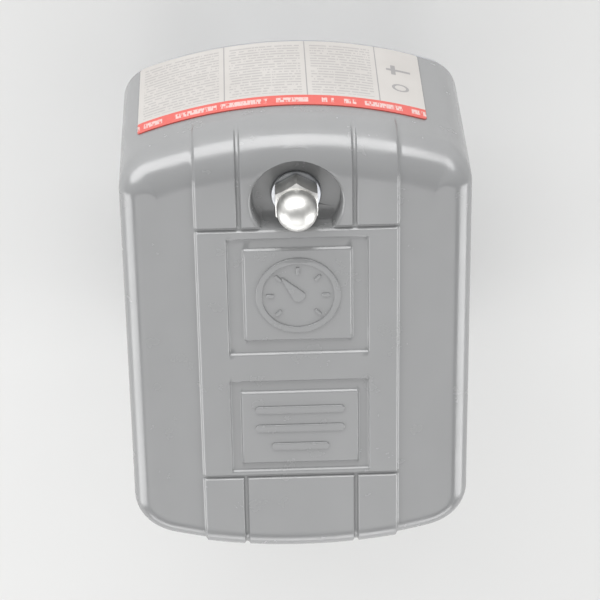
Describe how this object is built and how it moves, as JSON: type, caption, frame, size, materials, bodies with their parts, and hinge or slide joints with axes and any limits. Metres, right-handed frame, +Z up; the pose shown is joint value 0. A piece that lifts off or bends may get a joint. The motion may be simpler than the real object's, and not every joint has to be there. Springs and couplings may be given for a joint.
{
  "type": "water-pump pressure switch",
  "caption": "Diaphragm pressure switch: grey moulded cover under an acorn nut, over a plated frame with a pipe port, lever, springs and contacts.",
  "frame": {"origin": "centre of the pressure port's mouth", "axes": "+Z up along the port and the studs, towards the acorn nut; +Y from the label wall to the conduit end; +X to the right, seen from the label side"},
  "size_m": [0.073, 0.1034, 0.0816],
  "materials": {
    "cover_plastic": "satin grey moulding",
    "label_film": "printed film",
    "bright_nickel": "bright nickel plate",
    "zinc_plate": "clear zinc plate",
    "spring_steel": "drawn wire, oiled",
    "brass": "bright brass",
    "contact_silver": "silver contact face",
    "phenolic": "moulded black phenolic",
    "rubber": "moulded nitrile",
    "green_screw": "green plated screw"
  },
  "bodies": {
    "frame": {"base_frame": "zinc_plate", "pressure_housing": "zinc_plate", "diaphragm": "rubber", "range_stud": "zinc_plate", "differential_stud": "zinc_plate", "range_spring": "spring_steel", "differential_spring": "spring_steel", "pivot_pin": "bright_nickel", "pin_clip_left": "spring_steel", "pin_clip_right": "spring_steel", "toggle_spring": "spring_steel", "terminal_block": "phenolic", "block_screw_left": "zinc_plate", "block_screw_right": "zinc_plate", "ground_cup_left": "zinc_plate", "ground_cup_right": "zinc_plate", "ground_screw_left": "green_screw", "ground_screw_right": "green_screw", "flange_screw_1": "zinc_plate", "fixed_contact_1": "contact_silver", "terminal_strip_1": "brass", "flange_screw_2": "zinc_plate", "fixed_contact_2": "contact_silver", "terminal_strip_2": "brass", "flange_screw_3": "zinc_plate", "fixed_contact_3": "contact_silver", "terminal_strip_3": "brass", "flange_screw_4": "zinc_plate", "fixed_contact_4": "contact_silver", "terminal_strip_4": "brass"},
    "cover": {"cover": "cover_plastic", "label": "label_film"},
    "cover_nut_washer": {"cover_nut_washer": "zinc_plate"},
    "cover_nut": {"cover_nut": "bright_nickel"},
    "operating_lever": {"operating_lever": "zinc_plate", "range_spring_seat": "zinc_plate"},
    "pressure_piston": {"pressure_piston": "brass"},
    "contact_carrier": {"contact_carrier": "phenolic", "contact_bridge_left": "brass", "contact_bridge_right": "brass", "contact_spring_left": "spring_steel", "contact_spring_right": "spring_steel", "moving_contact_1": "contact_silver", "moving_contact_2": "contact_silver", "moving_contact_3": "contact_silver", "moving_contact_4": "contact_silver"},
    "range_spring_cap": {"range_spring_cap": "zinc_plate"},
    "range_nut": {"range_nut": "bright_nickel"},
    "differential_spring_cap": {"differential_spring_cap": "zinc_plate"},
    "differential_nut": {"differential_nut": "bright_nickel"},
    "wire_clamp_1": {"wire_clamp_1": "zinc_plate"},
    "terminal_screw_1": {"terminal_screw_1": "brass"},
    "wire_clamp_2": {"wire_clamp_2": "zinc_plate"},
    "terminal_screw_2": {"terminal_screw_2": "brass"},
    "wire_clamp_3": {"wire_clamp_3": "zinc_plate"},
    "terminal_screw_3": {"terminal_screw_3": "brass"},
    "wire_clamp_4": {"wire_clamp_4": "zinc_plate"},
    "terminal_screw_4": {"terminal_screw_4": "brass"}
  },
  "joints": [
    {"name": "cover_lift", "type": "slide", "parent": "frame", "child": "cover", "axis": [0, 0, 1], "range_m": [0, 0.1]},
    {"name": "cover_nut_rise", "type": "slide", "parent": "cover", "child": "cover_nut_washer", "axis": [0, 0, 1], "range_m": [0, 0.00635]},
    {"name": "cover_nut_turn", "type": "hinge", "parent": "cover_nut_washer", "child": "cover_nut", "pos_m": [0, -0.0215, 0.073], "axis": [0, 0, 1], "range_deg": [0, 2881]},
    {"name": "lever_tilt", "type": "hinge", "parent": "frame", "child": "operating_lever", "pos_m": [0, 0.02, 0.0357], "axis": [-1, 0, 0], "range_deg": [0, 2.5], "stiffness_Nm_per_rad": 2, "springref_deg": -2.86, "deforming": ["toggle_spring"]},
    {"name": "piston_lift", "type": "slide", "parent": "frame", "child": "pressure_piston", "axis": [0, 0, 1], "range_m": [0, 0.0009]},
    {"name": "contact_rock", "type": "hinge", "parent": "frame", "child": "contact_carrier", "pos_m": [0, 0.02, 0.0357], "axis": [1, 0, 0], "range_deg": [0, 10]},
    {"name": "range_cap_travel", "type": "slide", "parent": "frame", "child": "range_spring_cap", "axis": [0, 0, -1], "range_m": [0, 0.00476], "deforming": ["range_spring"]},
    {"name": "range_nut_turn", "type": "hinge", "parent": "range_spring_cap", "child": "range_nut", "pos_m": [0, -0.0215, 0.05915], "axis": [0, 0, -1], "range_deg": [0, 2161]},
    {"name": "differential_cap_travel", "type": "slide", "parent": "frame", "child": "differential_spring_cap", "axis": [0, 0, -1], "range_m": [0, 0.00318], "deforming": ["differential_spring"]},
    {"name": "differential_nut_turn", "type": "hinge", "parent": "differential_spring_cap", "child": "differential_nut", "pos_m": [0, 0.0095, 0.0588], "axis": [0, 0, -1], "range_deg": [0, 1441]},
    {"name": "wire_clamp_1_rise", "type": "slide", "parent": "frame", "child": "wire_clamp_1", "axis": [0, 0, 1], "range_m": [0, 0.0024]},
    {"name": "terminal_screw_1_turn", "type": "hinge", "parent": "wire_clamp_1", "child": "terminal_screw_1", "pos_m": [-0.0216, 0.03, 0.0478], "axis": [0, 0, 1], "range_deg": [0, 1081]},
    {"name": "wire_clamp_2_rise", "type": "slide", "parent": "frame", "child": "wire_clamp_2", "axis": [0, 0, 1], "range_m": [0, 0.0024]},
    {"name": "terminal_screw_2_turn", "type": "hinge", "parent": "wire_clamp_2", "child": "terminal_screw_2", "pos_m": [-0.0075, 0.03, 0.0478], "axis": [0, 0, 1], "range_deg": [0, 1081]},
    {"name": "wire_clamp_3_rise", "type": "slide", "parent": "frame", "child": "wire_clamp_3", "axis": [0, 0, 1], "range_m": [0, 0.0024]},
    {"name": "terminal_screw_3_turn", "type": "hinge", "parent": "wire_clamp_3", "child": "terminal_screw_3", "pos_m": [0.0075, 0.03, 0.0478], "axis": [0, 0, 1], "range_deg": [0, 1081]},
    {"name": "wire_clamp_4_rise", "type": "slide", "parent": "frame", "child": "wire_clamp_4", "axis": [0, 0, 1], "range_m": [0, 0.0024]},
    {"name": "terminal_screw_4_turn", "type": "hinge", "parent": "wire_clamp_4", "child": "terminal_screw_4", "pos_m": [0.0216, 0.03, 0.0478], "axis": [0, 0, 1], "range_deg": [0, 1081]}
  ],
  "couplings": [
    {"joint": "cover_nut_turn", "follows": "cover_nut_rise", "rad_per_m": 7913.3},
    {"joint": "piston_lift", "follows": "lever_tilt", "m_per_rad": 0.02},
    {"joint": "contact_rock", "follows": "lever_tilt", "ratio": 4},
    {"joint": "range_nut_turn", "follows": "range_cap_travel", "rad_per_m": 7913.3},
    {"joint": "differential_nut_turn", "follows": "differential_cap_travel", "rad_per_m": 7913.3},
    {"joint": "terminal_screw_1_turn", "follows": "wire_clamp_1_rise", "rad_per_m": 7854},
    {"joint": "terminal_screw_2_turn", "follows": "wire_clamp_2_rise", "rad_per_m": 7854},
    {"joint": "terminal_screw_3_turn", "follows": "wire_clamp_3_rise", "rad_per_m": 7854},
    {"joint": "terminal_screw_4_turn", "follows": "wire_clamp_4_rise", "rad_per_m": 7854}
  ]
}
